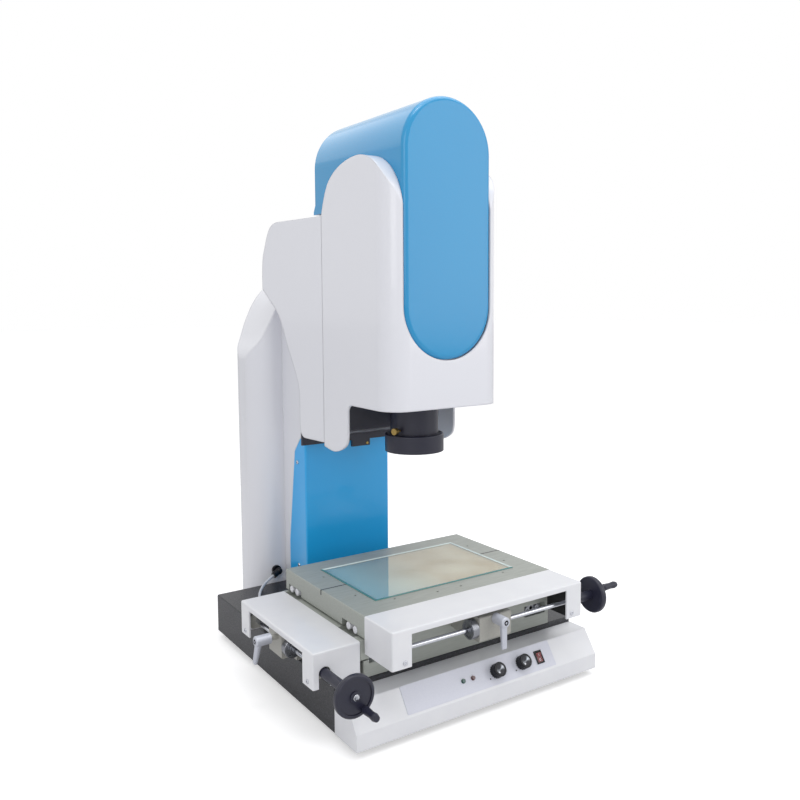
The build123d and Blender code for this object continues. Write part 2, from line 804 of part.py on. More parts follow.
def panel_rear(space):
    # The rear edge of the blue panel's sides from the granite up, moved back by a space.
    return [
        (panel_back + space, granite_height),
        (panel_back + space, panel_back_top),
        (panel_slant_y + space, panel_slant_top),
        (panel_front + panel_top_depth + space, panel_top + space),
    ]


def column_panel_screws():
    screws = []
    for z in panel_screw_z:
        right = Pos(panel_half, panel_screw_y, z) * Rot(0, 90, 0) * button_screw(cover_screw, 2.2)
        screws += [right, mirror(right, Plane.YZ)]
    return screws


def z_rails():
    low = panel_top + 2
    y = (core_front - z_rail_depth, core_front)
    side = z_rail_width / 2
    right = block((z_rail_x - side, z_rail_x + side), y, (low, core_top - 4))
    waist = block((0, 2.2), (y[0] + 4, y[0] + 8), (low - 1, core_top))
    right -= Pos(z_rail_x - side, 0, 0) * waist
    right -= Pos(z_rail_x + side - 2.2, 0, 0) * waist
    return [right, mirror(right, Plane.YZ)]


def tombstone(inset):
    # The front view of the housing in (x, z), inset by a wall: straight sides, then an arch.
    half = housing_half - inset
    low = housing_bottom + inset
    top = housing_top - inset
    flat = housing_flat - inset
    arch = [(half, housing_straight)]
    arch += [(half - x, z - inset / 2) for x, z in housing_arch]
    arch += [(flat, top)]
    right = Spline(*arch, tangents=((0, 1), (-1, 0)))
    left = mirror(right, Plane.YZ)
    line = Polyline((-half, housing_straight), (-half, low), (half, low), (half, housing_straight))
    return make_face(line + right + Line((flat, top), (-flat, top)) + left)


def housing_solid(inset):
    half = housing_half - inset
    depth = housing_back - housing_front - 2 * inset
    plan = RectangleRounded(2 * half, depth, housing_corner - inset)
    plan = Pos(0, (housing_front + housing_back) / 2) * plan
    prism = prism_z(plan, housing_bottom + inset, housing_top)
    return prism & prism_y(tombstone(inset), housing_front - 1, housing_back + 1)


def rear_housing():
    # The hollow housing, and the two cheeks that stand against its front beside the column.
    body = housing_solid(0) - housing_solid(housing_wall)
    opening = (-core_half + core_wall, core_half - core_wall)
    wall = (housing_front - 1, housing_front + housing_wall + 1)
    body -= block(opening, wall, (granite_height + 16, core_top))
    for side in (-1, 1):
        x0, x1 = sorted((side * (housing_half - 1), side * (housing_half - 12)))
        body += rod_x(z_shaft_y, z_shaft_z, 16, x0, x1)
    body -= rod_x(z_shaft_y, z_shaft_z, z_shaft_radius + fit, -housing_half + 2, housing_half + 2)
    cheek = prism_x(cheek_side(), core_half + gap, core_half + gap + cheek_thick)
    return [body, cheek, mirror(cheek, Plane.YZ)]


def cheek_side():
    # The side view of a cheek, which closes the column's side behind the blue panel.
    foot, *rear = panel_rear(gap)
    front = core_front + gap
    return polygon(
        (foot[0], granite_height + gap), *rear, (front, panel_top + gap), (front, core_top),
        (housing_front, core_top), (housing_front, granite_height + gap),
    )


# Head
def stadium(radius):
    line_right = Line((radius, hood_low), (radius, hood_high))
    line_left = Line((-radius, hood_high), (-radius, hood_low))
    top = CenterArc((0, hood_high), radius, 0, 180)
    low = CenterArc((0, hood_low), radius, 180, 180)
    return make_face(line_right + top + line_left + low)


def hood():
    body = prism_y(stadium(hood_half), hood_front, hood_back)
    body = fillet(body.faces().sort_by(Axis.Y)[0].edges(), hood_edge)
    rear = hood_back - 1
    tip = hood_back + hood_lip
    lip = polygon(
        (rear, hood_rear_low), (tip, hood_rear_low), (tip, hood_rear_low + 5), (rear, hood_rear_low + 20),
    )
    body += prism_x(lip, -hood_half, hood_half)
    body -= prism_y(stadium(hood_half - hood_wall), hood_front + hood_wall, hood_back - hood_wall)
    body -= block((-far, far), (shell_turn + 14, far), (0, hood_rear_low))
    return body - block((-far, far), (hood_front + 20, far), (0, hood_low + 40))


def shell_side(inset):
    # The side view of the head shell in (y, z), inset by a wall. It stays open below.
    front = hood_front + inset
    shoulder = shoulder_top - inset
    arch = arch_z + arch_height - inset
    back = shell_back - inset
    low_back = shell_back_low - inset
    seam = shell_turn
    outline = [
        Line((front, skirt_bottom), (front, arch_z)),
        EllipticalCenterArc((arch_y, arch_z), arch_y - front, arch - arch_z, start_angle=90, arc_size=90),
        Spline(
            (arch_y, arch), (262, arch - 5.5), (300, arch - 19), (326, arch - 39), (341, arch - 65),
            (seam, shoulder), tangents=((1, 0), (0.3, -1)),
        ),
        Line((seam, shoulder), (shoulder_back, shoulder)),
        Spline(
            (shoulder_back, shoulder), (back - 28, shoulder - 16), (back - 11, shoulder - 50),
            (back, shell_nape), tangents=((1, 0), (0.04, -1)),
        ),
        Line((back, shell_nape), (back, shell_nape_low)),
        Spline(
            (back, shell_nape_low), *[(back - y, z) for y, z in shell_nape_curve],
            (low_back + 4, shell_tail + 50), (low_back, shell_tail), tangents=((-1, -0.8), (0, -1)),
        ),
        Line((low_back, shell_tail), (low_back, flank_bottom + flank_corner)),
        RadiusArc(
            (low_back, flank_bottom + flank_corner), (low_back - flank_corner, flank_bottom), flank_corner,
        ),
        Line((low_back - flank_corner, flank_bottom), (seam, flank_bottom)),
        Line((seam, flank_bottom), (seam, lobe_seam)),
        Spline(
            (seam, lobe_seam), (309, lobe_bottom), (lobe_front + 12, lobe_bottom + 14),
            (lobe_front, lobe_bottom + 46), tangents=((-1, -0.12), (0, 1)),
        ),
        Line((lobe_front, lobe_bottom + 46), (lobe_front, skirt_bottom - 14)),
        RadiusArc((lobe_front, skirt_bottom - 14), (skirt_y, skirt_bottom), -14),
        Line((skirt_y, skirt_bottom), (front, skirt_bottom)),
    ]
    face = outline[0]
    for piece in outline[1:]:
        face += piece
    return make_face(face)


def shell_inner_half(y):
    # Half the clear width inside the shell at y, behind the turn of its sides.
    flare = (shell_rear_half - shell_half) / (shell_back - shell_turn)
    return shell_half - shell_wall + flare * (y - shell_turn)


def shell_plan(inset):
    # The plan view in (x, y): a straight front half, then sides that flare towards the back.
    half = shell_half - inset
    rear = shell_rear_half - inset
    front = hood_front + inset
    back = shell_back - inset
    corner = shell_corner - inset
    turn = shell_turn
    sides = ((-half, turn), (-rear, back), (rear, back), (half, turn))
    line = Polyline((-half, front + corner), *sides, (half, front + corner))
    right = RadiusArc((half, front + corner), (half - corner, front), corner)
    low = Line((half - corner, front), (-half + corner, front))
    left = RadiusArc((-half + corner, front), (-half, front + corner), corner)
    return make_face(line + right + low + left)


def head_shell():
    body = prism_z(shell_plan(0), 0, far) & prism_x(shell_side(0), -far, far)
    void = prism_z(shell_plan(shell_wall), 0, far) & prism_x(shell_side(shell_wall), -far, far)
    body -= void
    body -= prism_y(stadium(hood_half + gap), 0, hood_back + gap)
    seam = (shell_turn - seam_width / 2, shell_turn + seam_width / 2)
    body -= both_sides(block((shell_half - seam_depth, far), seam, (0, shoulder_top - seam_depth)))
    tunnel_top = shoulder_top - shell_wall - 1
    return body - block((-tunnel_half, tunnel_half), (tunnel_front, far), (0, tunnel_top))


def dust_plate():
    # The black plate behind the head hides the rails. Its neck lies on the back of the carriage.
    y = (carriage_front + carriage_thick, carriage_front + carriage_thick + dust_thick)
    plate = block((-dust_half, dust_half), y, (dust_low, dust_high))
    plate += block((-carriage_half, carriage_half), y, (dust_high - 1, carriage_low + dust_lap))
    return plate + block(dust_tab, y, (dust_low - dust_tab_drop, dust_low + 1))


def ring_light_housing():
    top = ring_light_bottom + ring_light_height
    body = rod_z(0, lens_y, ring_light_radius, ring_light_bottom, top)
    body = fillet(body.edges().group_by(Axis.Z)[-1], 3)
    body -= rod_z(0, lens_y, 22, ring_light_bottom - 1, top + 1)
    trough = rod_z(0, lens_y, ring_light_radius - 4, ring_light_bottom - 1, ring_light_bottom + 8)
    trough -= rod_z(0, lens_y, 27, ring_light_bottom - 2, ring_light_bottom + 9)
    return body - trough


def ring_light_leds():
    plate = rod_z(0, lens_y, ring_light_radius - 4 - fit, ring_light_bottom + 5, ring_light_bottom + 8)
    plate -= rod_z(0, lens_y, 27 + fit, ring_light_bottom, ring_light_bottom + 9)
    for row, count in ((32, 18), (38.5, 22), (45, 26)):
        for i in range(count):
            turn = 2 * math.pi * i / count
            x = row * math.cos(turn)
            y = lens_y + row * math.sin(turn)
            plate += Pos(x, y, ring_light_bottom + 3.5) * Cylinder(2.2, 3.4)
    return plate


def zoom_lens():
    low = ring_light_bottom + ring_light_height
    ring_seat = zoom_ring_radius - 6
    body = rod_z(0, lens_y, tube_radius, low, tube_top)
    body = chamfer(body.edges().group_by(Axis.Z)[-1], 4)
    body += rod_z(0, lens_y, ring_seat, tube_top, zoom_ring_high + 8)
    body += rod_z(0, lens_y, barrel_radius, zoom_ring_high + 8, barrel_top)
    body += rod_z(0, lens_y, 20, ring_light_bottom + 14, low)
    return body - rod_z(0, lens_y, 14, ring_light_bottom + 12, ring_light_bottom + 30)


def zoom_ring():
    body = rod_z(0, lens_y, zoom_ring_radius, zoom_ring_low, zoom_ring_high)
    body = chamfer(body.edges(), 1)
    for i in range(24):
        turn = 2 * math.pi * i / 24
        x = (zoom_ring_radius + 0.8) * math.cos(turn)
        y = lens_y + (zoom_ring_radius + 0.8) * math.sin(turn)
        body -= rod_z(x, y, 2, zoom_ring_low + 4, zoom_ring_high - 4)
    return body - rod_z(0, lens_y, zoom_ring_radius - 6 + fit, zoom_ring_low - 1, zoom_ring_high + 1)


def camera():
    half = camera_side / 2
    body = block((-half, half), (lens_y - half, lens_y + half), (barrel_top, barrel_top + camera_height))
    body = fillet(body.edges().filter_by(Axis.Z), 5)
    for i in range(camera_fins):
        z = barrel_top + 14 + i * camera_fin_step
        groove = block((half - 3, half + 1), (lens_y - half - 1, lens_y + half + 1), (z, z + camera_fin))
        body -= both_sides(groove)
    return body


def lens_bracket():
    z = (bracket_low, bracket_high)
    body = rod_z(0, lens_y, barrel_radius + 14, *z)
    body += block((-24, 24), (lens_y, carriage_front), z)
    plate = block((-50, 50), (carriage_front - 12, carriage_front), (bracket_low - 12, bracket_high + 50))
    body += fillet(plate.edges().filter_by(Axis.Y), 6)
    body += block((-6, 6), (lens_y + 45, carriage_front - 4), (bracket_high - 1, bracket_high + 30))
    body -= rod_z(0, lens_y, barrel_radius + fit, bracket_low - 1, bracket_high + 1)
    slit = (lens_y - 1.5, lens_y + 1.5)
    return body - block((-far, -barrel_radius + 2), slit, (bracket_low - 1, bracket_high + 1))


def thumb_screw():
    # The brass screw that clamps the ring light to the lens, at its left front.
    place = Pos(0, lens_y, clamp_z) * Rot(0, 0, clamp_turn)
    head = Pos(-tube_radius - 14, 0, 0) * Rot(0, 90, 0) * Cylinder(6, 8)
    shank = Pos(-tube_radius - 6 - gap, 0, 0) * Rot(0, 90, 0) * Cylinder(2.5, 12)
    return place * (head + shank)


def z_carriage():
    x = (-carriage_half, carriage_half)
    y0 = carriage_front
    y1 = carriage_front + carriage_thick
    body = block(x, (y0, y1), (carriage_low, carriage_high))
    body = fillet(body.edges().filter_by(Axis.Y), 6)
    rail_face = core_front - z_rail_depth
    half = z_rail_width / 2
    for z0 in (carriage_low + 8, carriage_high - 58):
        shoe = block((z_rail_x - 17, z_rail_x + 17), (y1, core_front - 3), (z0, z0 + 50))
        channel = (z_rail_x - half - gap, z_rail_x + half + gap)
        shoe -= block(channel, (rail_face - gap, far), (z0 - 1, z0 + 51))
        body += both_sides(shoe)
    # Two wings carry the head shell on the inside of its walls.
    reach = shell_inner_half(y0) - gap / 2
    body += block((-reach, reach), (y0, y1), (carriage_high - 50, carriage_high - 10))
    arm_end = z_shaft_y - pitch_radius - tooth_module - 11
    body += block((-14, 14), (y1 - 1, arm_end), (rack_high - 40, rack_high))
    return body


def z_rack():
    pitch_y = z_shaft_y - pitch_radius
    root = pitch_y - 1.25 * tooth_module
    back = pitch_y - tooth_module - 11
    step = math.pi * tooth_module
    body = block((-rack_half, rack_half), (back, root), (rack_low, rack_high))
    flank = math.tan(math.radians(20))
    thick = 0.44 * step
    tip = pitch_y + 0.85 * tooth_module
    wide = thick / 2 + (pitch_y - root) * flank
    thin = thick / 2 - (tip - pitch_y) * flank
    first = -int((z_shaft_z - rack_low) / step) + 1
    last = int((rack_high - z_shaft_z) / step) - 1
    for i in range(first, last + 1):
        z = z_shaft_z + i * step
        tooth = polygon((root - 0.5, z - wide), (tip, z - thin), (tip, z + thin), (root - 0.5, z + wide))
        body += prism_x(tooth, -rack_half, rack_half)
    return body


def z_pinion_shaft():
    body = rod_x(z_shaft_y, z_shaft_z, z_shaft_radius, -housing_half + 4, z_wheel_back + wheel_thick)
    root = pitch_radius - 1.25 * tooth_module
    tip = pitch_radius + 0.85 * tooth_module
    body += rod_x(z_shaft_y, z_shaft_z, root, -rack_half + 1, rack_half - 1)
    step = math.pi * tooth_module
    flank = math.tan(math.radians(20))
    thick = 0.44 * step
    wide = thick / 2 + (pitch_radius - root) * flank * 0.6
    thin = thick / 2 - (tip - pitch_radius) * flank * 1.5
    tooth = polygon(
        (root - 1, -wide), (pitch_radius, -thick / 2), (tip, -thin),
        (tip, thin), (pitch_radius, thick / 2), (root - 1, wide),
    )
    tooth = prism_x(tooth, -rack_half + 1, rack_half - 1)
    # A gap between two teeth faces the rack, whose middle tooth lies at the shaft's height.
    for i in range(pinion_teeth):
        turn = 180 + (i + 0.5) * 360 / pinion_teeth
        body += Pos(0, z_shaft_y, z_shaft_z) * Rot(turn, 0, 0) * tooth
    tip_x = z_wheel_back + wheel_thick
    return body + Pos(tip_x, z_shaft_y, z_shaft_z) * Rot(0, 90, 0) * end_screw(z_shaft_radius + 1)


def z_hand_wheel():
    body = hand_wheel(z_wheel_back - housing_half - 1, None)
    return z_wheel_place * (body - Cylinder(z_shaft_radius + fit, 400))


# Cable of the stage scale, its elbow gland on the housing and its entry on the granite
def cable_path():
    points = [Vector(*p) for p in cable_points]
    radii = []
    for a, b, c in zip(points, points[1:], points[2:]):
        turn = (b - a).get_angle(c - b)
        shorter = min((b - a).length, (c - b).length)
        radii.append(0.45 * shorter / math.tan(math.radians(turn / 2)))
    return FilletPolyline(*points, radius=radii), radii


def scale_cable():
    path, radii = cable_path()
    print("cable radii", [round(r, 1) for r in radii], "length", round(path.length, 1))
    section = Plane(origin=path @ 0, z_dir=path % 0) * Circle(cable_radius)
    body = sweep(section, path=path)
    print("cable volume over section times length", body.volume / (math.pi * cable_radius ** 2 * path.length))
    return body


def cable_glands():
    start = Vector(*cable_points[0])
    ahead = (Vector(*cable_points[1]) - start).normalized()
    corner = start - ahead * 16
    nut = Cylinder(7, 14, align=(Align.CENTER, Align.CENTER, Align.MIN))
    nut = Plane(origin=start - ahead * 14, z_dir=ahead) * chamfer(nut.edges(), 1)
    knee = Pos(corner) * Sphere(8)
    neck = rod_y(corner.X, corner.Z, 6.5, corner.Y, housing_front)
    flange = rod_y(corner.X, corner.Z, 10, housing_front - 6, housing_front)
    elbow = nut + knee + neck + flange
    end = Vector(*cable_points[-1])
    along = (end - Vector(*cable_points[-2])).normalized()
    entry = block((end.X - 11, end.X + 11), (end.Y - 26, end.Y), (granite_height, granite_height + 14))
    entry = fillet(entry.edges().filter_by(Axis.Y).group_by(Axis.Z)[-1], 3)
    cut = Plane(origin=end, z_dir=along) * Cylinder(30, 20, align=(Align.CENTER, Align.CENTER, Align.MAX))
    return [elbow, entry - cut]


nodes = {
    "granite_base": granite_base,
    "levelling_feet": levelling_feet,
    "front_cover": front_cover,
    "control_panel": control_panel,
    "switch_bezel": switch_bezel,
    "power_rocker": power_rocker,
    "surface_knob": surface_knob,
    "contour_knob": contour_knob,
    "dimmer_potentiometers": dimmer_potentiometers,
    "green_led": lambda: led(green_led_x),
    "red_led": lambda: led(red_led_x),
    "contour_light_housing": contour_light_housing,
    "contour_condenser_lens": contour_condenser_lens,
    "stage_base": stage_base,
    "y_rails_fixed": lambda: y_rails(0),
    "y_rails_moving": lambda: y_rails(1),
    "y_plate": y_plate,
    "x_rails_fixed": lambda: x_rails(0),
    "x_rails_moving": lambda: x_rails(1),
    "x_plate": x_plate,
    "stage_glass": stage_glass,
    "x_cover": x_cover,
    "x_cover_screws": x_cover_screws,
    "x_rod_bearings": x_rod_bearings,
    "x_rod": x_rod,
    "x_hand_wheel": lambda: x_wheel_place * hand_wheel(x_sleeve_length, x_crank_angle),
    "x_crank_handle": lambda: x_wheel_place * crank(x_crank_angle),
    "x_block": x_block,
    "x_ring_bearing": x_ring_bearing,
    "x_lever": x_lever,
    "y_cover": y_cover,
    "y_cover_screws": y_cover_screws,
    "y_rod_bearings": y_rod_bearings,
    "y_rod": y_rod,
    "y_hand_wheel": lambda: y_wheel_place * hand_wheel(y_sleeve_length, y_crank_angle),
    "y_crank_handle": lambda: y_wheel_place * crank(y_crank_angle),
    "y_block": y_block,
    "y_ring_bearing": y_ring_bearing,
    "y_lever": y_lever,
    "column_core": column_core,
    "column_panel": column_panel,
    "column_panel_screws": column_panel_screws,
    "z_rails": z_rails,
    "rear_housing": rear_housing,
    "z_carriage": z_carriage,
    "dust_plate": dust_plate,
    "z_rack": z_rack,
    "z_pinion_shaft": z_pinion_shaft,
    "z_hand_wheel": z_hand_wheel,
    "head_shell": head_shell,
    "hood": hood,
    "lens_bracket": lens_bracket,
    "zoom_lens": zoom_lens,
    "zoom_ring": zoom_ring,
    "camera": camera,
    "ring_light_housing": ring_light_housing,
    "ring_light_leds": ring_light_leds,
    "thumb_screw": thumb_screw,
    "cable_glands": cable_glands,
    "scale_cable": scale_cable,
}

frame_shift = Pos(18.5, -326.5, foot_height)

os.makedirs("parts", exist_ok=True)
corners = []
for name, make in nodes.items():
    made = make()
    pieces = made if isinstance(made, list) else [made]
    solids = [solid for piece in pieces for solid in (frame_shift * piece).solids()]
    whole = Compound(children=solids) if len(solids) > 1 else solids[0]
    whole.label = name
    export_step(whole, f"parts/{name}.step")
    box = whole.bounding_box()
    corners += [box.min, box.max]
low = [min(corner) for corner in zip(*corners)]
high = [max(corner) for corner in zip(*corners)]
print(len(nodes), "nodes, from", low, "to", high)
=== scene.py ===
# %% [markdown]
# # A measuring microscope, dressed around its CAD frame
# The real machine is a video measuring microscope: a granite base, a glass stage on two crossed
# slides, and a white and blue head that rides up and down a column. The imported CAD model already
# has every rigid piece in its true size. We load it first and never move it. Blender adds the
# finishes, the light, the camera and the small things that CAD leaves out.

# %% Load the frame
import math

import bmesh
import bpy
from mathutils import Matrix, Vector


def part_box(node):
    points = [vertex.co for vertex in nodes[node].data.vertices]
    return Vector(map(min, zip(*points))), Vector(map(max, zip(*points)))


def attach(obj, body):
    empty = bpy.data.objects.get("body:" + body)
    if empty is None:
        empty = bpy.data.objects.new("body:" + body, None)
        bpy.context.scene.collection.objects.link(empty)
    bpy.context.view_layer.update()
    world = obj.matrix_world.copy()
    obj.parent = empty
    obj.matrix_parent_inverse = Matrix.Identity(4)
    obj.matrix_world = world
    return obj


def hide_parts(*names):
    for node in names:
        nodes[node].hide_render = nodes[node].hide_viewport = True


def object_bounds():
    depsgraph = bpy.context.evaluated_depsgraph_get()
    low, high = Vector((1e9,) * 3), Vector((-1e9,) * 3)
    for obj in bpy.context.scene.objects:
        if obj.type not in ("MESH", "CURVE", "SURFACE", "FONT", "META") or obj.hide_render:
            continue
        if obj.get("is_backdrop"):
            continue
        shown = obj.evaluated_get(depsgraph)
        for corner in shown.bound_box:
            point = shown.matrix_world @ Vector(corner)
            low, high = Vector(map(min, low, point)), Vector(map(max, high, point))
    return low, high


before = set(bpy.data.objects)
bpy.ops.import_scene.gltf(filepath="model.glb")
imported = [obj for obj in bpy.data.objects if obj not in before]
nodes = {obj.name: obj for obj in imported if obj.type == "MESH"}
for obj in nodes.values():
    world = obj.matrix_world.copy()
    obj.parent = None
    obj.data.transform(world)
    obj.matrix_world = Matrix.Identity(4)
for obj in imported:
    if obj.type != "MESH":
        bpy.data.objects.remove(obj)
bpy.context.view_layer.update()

# %% [markdown]
# The machine's drawing counts millimetres: x from the lens axis, y back from the front edge of
# the base, z up from the granite's underside. The frame counts metres from the middle of the
# bench. One small function turns a drawing point into a frame point, so that every number below
# can be read off the drawing.

# %% From drawing millimetres to frame metres
MM = 0.001
bench_middle = (-18.5, 326.5, -12.0)  # the frame's origin, in drawing millimetres


def at(x, y, z):
    return Vector([(v - middle) * MM for v, middle in zip((x, y, z), bench_middle)])


print("lens axis on the stage glass:", tuple(at(0, 222, 182)))

# %% [markdown]
# The photograph was taken from the front left, a little above the head's lower edge. Parallel
# edges that run into the distance fix a camera's angles, and the machine's known size fixes its
# distance. A small lens shift keeps the machine off centre, as in the picture.

# %% The camera
view_data = bpy.data.cameras.new("photo_camera")
view_data.sensor_width = 36.0
view_data.lens = 37.28
view_data.shift_x = -0.0328
view_data.shift_y = -0.0317
view_data.clip_end = 60.0
camera = bpy.data.objects.new("photo_camera", view_data)
camera.location = at(-858.4, -1055.3, 690.5)
camera.rotation_euler = (math.radians(84.84), math.radians(0.19), math.radians(-34.766))
bpy.context.scene.collection.objects.link(camera)
bpy.context.scene.camera = camera
print("camera at", tuple(camera.location))

# %% [markdown]
# A grey cable leaves an elbow on the white housing, falls onto the granite and ends in a gland
# there, behind the cover of the y drive. It is 128 mm long and 5.6 mm thick. A NURBS curve through
# loose control points bends as a real cable does, without corners, so the curve takes the route's
# points as its control points.
# The order is set after the points, or Blender falls back to straight runs. The thickness is in the
# points' radius, because Blender counts that radius, 1 m unless set, in the curve's box.

# %% The scale cable
cable_radius = 2.8 * MM
cable_route = (
    (-139, 562, 100), (-151, 559, 95), (-164, 554, 88.5), (-176, 543, 82.6),
    (-186, 527, 81.2), (-196, 506, 81), (-201, 484, 81.4), (-201, 466, 83.4),
)
cable_points = [at(*point) for point in cable_route]
cable_line = bpy.data.curves.new("scale_cable_jacket", "CURVE")
cable_line.dimensions = "3D"
cable_line.bevel_depth = 1.0
cable_line.bevel_resolution = 6
cable_line.use_fill_caps = True
route = cable_line.splines.new("NURBS")
route.points.add(len(cable_points) - 1)
for point, place in zip(route.points, cable_points):
    point.co = (*place, 1.0)
    point.radius = cable_radius
route.order_u = 3
route.use_endpoint_u = True
route.resolution_u = 10
cable = bpy.data.objects.new("scale_cable_jacket", cable_line)
bpy.context.scene.collection.objects.link(cable)
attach(cable, "base")
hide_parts("scale_cable")
print("cable points:", len(cable_points))

# %% [markdown]
# ## Finishes
# Every finish starts from the same shader, and gets its own detail on top: grain, a faint change
# of colour, and relief. The patterns are noise in Object coordinates, in metres, so they have
# the same real size on every piece. Colours are noted as a paint chart gives them, from 0 to 255,
# and turned into the linear values that light needs.

# %% Colour from a paint chart
def chart(red, green, blue):
    return tuple(
        (v / 255 / 12.92) if v / 255 <= 0.04045 else ((v / 255 + 0.055) / 1.055) ** 2.4
        for v in (red, green, blue)
    )


print("mid grey is", [round(v, 3) for v in chart(128, 128, 128)])

# %% A plain finish to build on
finishes = {}


def start_finish(name, colour, roughness, metallic=0.0, coat=0.0):
    made = bpy.data.materials.new(name)
    made.use_nodes = True
    shader = made.node_tree.nodes["Principled BSDF"]
    shader.inputs["Base Color"].default_value = (*colour, 1)
    shader.inputs["Roughness"].default_value = roughness
    shader.inputs["Metallic"].default_value = metallic
    shader.inputs["Coat Weight"].default_value = coat
    shader.inputs["Coat Roughness"].default_value = 0.06
    finishes[name] = made
    return made.node_tree, shader


print("finishes so far:", len(finishes))

# %% [markdown]
# A few helpers add the detail. `grain` is a noise between two values, and its scale says how fine
# it is. `tint` blends two colours by it, and `cover` hands the blend and a second noise to the
# shader. `relief` turns a noise into small bumps, whose depth is in metres. Stretching the noise
# along one axis gives brushed metal.

# %% Grain, tint, cover and relief
def grain(tree, scale, low, high, detail=3.0, stretch=(1, 1, 1)):
    place = tree.nodes.new("ShaderNodeTexCoord")
    turn = tree.nodes.new("ShaderNodeMapping")
    turn.inputs["Scale"].default_value = stretch
    noise = tree.nodes.new("ShaderNodeTexNoise")
    noise.inputs["Scale"].default_value = scale
    noise.inputs["Detail"].default_value = detail
    span = tree.nodes.new("ShaderNodeMapRange")
    span.clamp = False
    span.inputs["From Min"].default_value = 0.3
    span.inputs["From Max"].default_value = 0.7
    span.inputs["To Min"].default_value = low
    span.inputs["To Max"].default_value = high
    tree.links.new(place.outputs["Object"], turn.inputs["Vector"])
    tree.links.new(turn.outputs["Vector"], noise.inputs["Vector"])
    tree.links.new(noise.outputs["Fac"], span.inputs["Value"])
    return span.outputs["Result"]


def tint(tree, amount, first, second):
    blend = tree.nodes.new("ShaderNodeMix")
    blend.data_type = "RGBA"
    tree.links.new(amount, blend.inputs["Factor"])
    blend.inputs["A"].default_value = (*first, 1)
    blend.inputs["B"].default_value = (*second, 1)
    return blend.outputs["Result"]


def cover(tree, shader, cloud, colour, shade, rough):
    tree.links.new(tint(tree, cloud, colour, shade), shader.inputs["Base Color"])
    tree.links.new(rough, shader.inputs["Roughness"])


def relief(tree, shader, height, depth):
    bump = tree.nodes.new("ShaderNodeBump")
    bump.inputs["Strength"].default_value = 1.0
    bump.inputs["Distance"].default_value = depth
    tree.links.new(height, bump.inputs["Height"])
    tree.links.new(bump.outputs["Normal"], shader.inputs["Normal"])
    return bump


print("helpers ready")

# %% [markdown]
# **Painted and moulded pieces.** The shell, the housing, the hood and the column's blue panel are
# glossy and very even, so they get only faint, wide waves, as on a real moulding: a coarse pattern
# would show as patches. The covers are powder-coated sheet, whose skin is like fine orange peel.
# No such piece has a sharp edge, so its normal turns over a few millimetres beside each one.

# %% Paints
def soften(tree, bump, edge):
    rounding = tree.nodes.new("ShaderNodeBevel")
    rounding.samples = 6
    rounding.inputs["Radius"].default_value = edge
    tree.links.new(rounding.outputs["Normal"], bump.inputs["Normal"])


def moulded_gloss(name, colour, shade, roughness, edge, coat=0.4):
    tree, shader = start_finish(name, colour, roughness, coat=coat)
    cloud = grain(tree, 5, 0.25, 0.75, detail=0)
    rough = grain(tree, 12, roughness - 0.005, roughness + 0.005, detail=0)
    cover(tree, shader, cloud, colour, shade, rough)
    waves = relief(tree, shader, grain(tree, 14, 0, 1, detail=0), 0.02 * MM)
    soften(tree, waves, edge)


def powder_coat(name, colour, shade, roughness, edge):
    tree, shader = start_finish(name, colour, roughness, coat=0.2)
    rough = grain(tree, 300, roughness - 0.05, roughness + 0.06)
    cover(tree, shader, grain(tree, 25, 0, 1), colour, shade, rough)
    skin = relief(tree, shader, grain(tree, 650, 0, 1, detail=1), 0.04 * MM)
    soften(tree, skin, edge)


shell_white = chart(226, 227, 234)
moulded_gloss("white_shell", shell_white, shell_white, 0.24, 5 * MM)
moulded_gloss("hood_blue", chart(38, 149, 202), chart(34, 143, 198), 0.16, 1 * MM, coat=0.12)
moulded_gloss("panel_blue", chart(30, 176, 245), chart(26, 168, 240), 0.3, 1 * MM)
powder_coat("white_paint", chart(229, 230, 234), chart(225, 226, 231), 0.34, 1.2 * MM)
print("paints:", sorted(finishes))

# %% [markdown]
# **Granite.** Black measuring granite is honed flat. Up close it is a mass of dark crystals with a
# few lighter ones. A Voronoi pattern of about one cell a millimetre gives each crystal its own
# random value, and a colour ramp turns most of them near black and a few into grey flecks.

# %% Granite
tree, shader = start_finish("granite", chart(33, 34, 37), 0.4, coat=0.05)
place = tree.nodes.new("ShaderNodeTexCoord")
crystals = tree.nodes.new("ShaderNodeTexVoronoi")
crystals.inputs["Scale"].default_value = 750
near_black, dark, light = chart(26, 27, 30), chart(38, 39, 44), chart(61, 61, 69)
value = tree.nodes.new("ShaderNodeSeparateColor")
ramp = tree.nodes.new("ShaderNodeValToRGB")
ramp.color_ramp.elements[0].color = (*near_black, 1)
ramp.color_ramp.elements[1].position = 0.72
ramp.color_ramp.elements[1].color = (*dark, 1)
fleck = ramp.color_ramp.elements.new(0.95)
fleck.color = (*light, 1)
tree.links.new(place.outputs["Object"], crystals.inputs["Vector"])
tree.links.new(crystals.outputs["Color"], value.inputs["Color"])
tree.links.new(value.outputs["Red"], ramp.inputs["Fac"])
tree.links.new(ramp.outputs["Color"], shader.inputs["Base Color"])
tree.links.new(grain(tree, 400, 0.33, 0.5), shader.inputs["Roughness"])
print("granite cells per metre:", crystals.inputs["Scale"].default_value)

# %% [markdown]
# **Metals.** Ground stage plates, polished rods, cast levers and dark wheels differ in roughness
# and in the scale and direction of their grain. Metals show what stands around them, so their
# colour is little more than a tint.

# %% Metals
def metal(name, colour, shade, roughness, metallic, scale, depth, stretch=(1, 1, 1)):
    tree, shader = start_finish(name, colour, roughness, metallic)
    rough = grain(tree, scale, roughness - 0.05, roughness + 0.07, stretch=stretch)
    cover(tree, shader, grain(tree, scale, 0, 1, stretch=stretch), colour, shade, rough)
    if depth:
        relief(tree, shader, grain(tree, scale, 0, 1, stretch=stretch), depth)


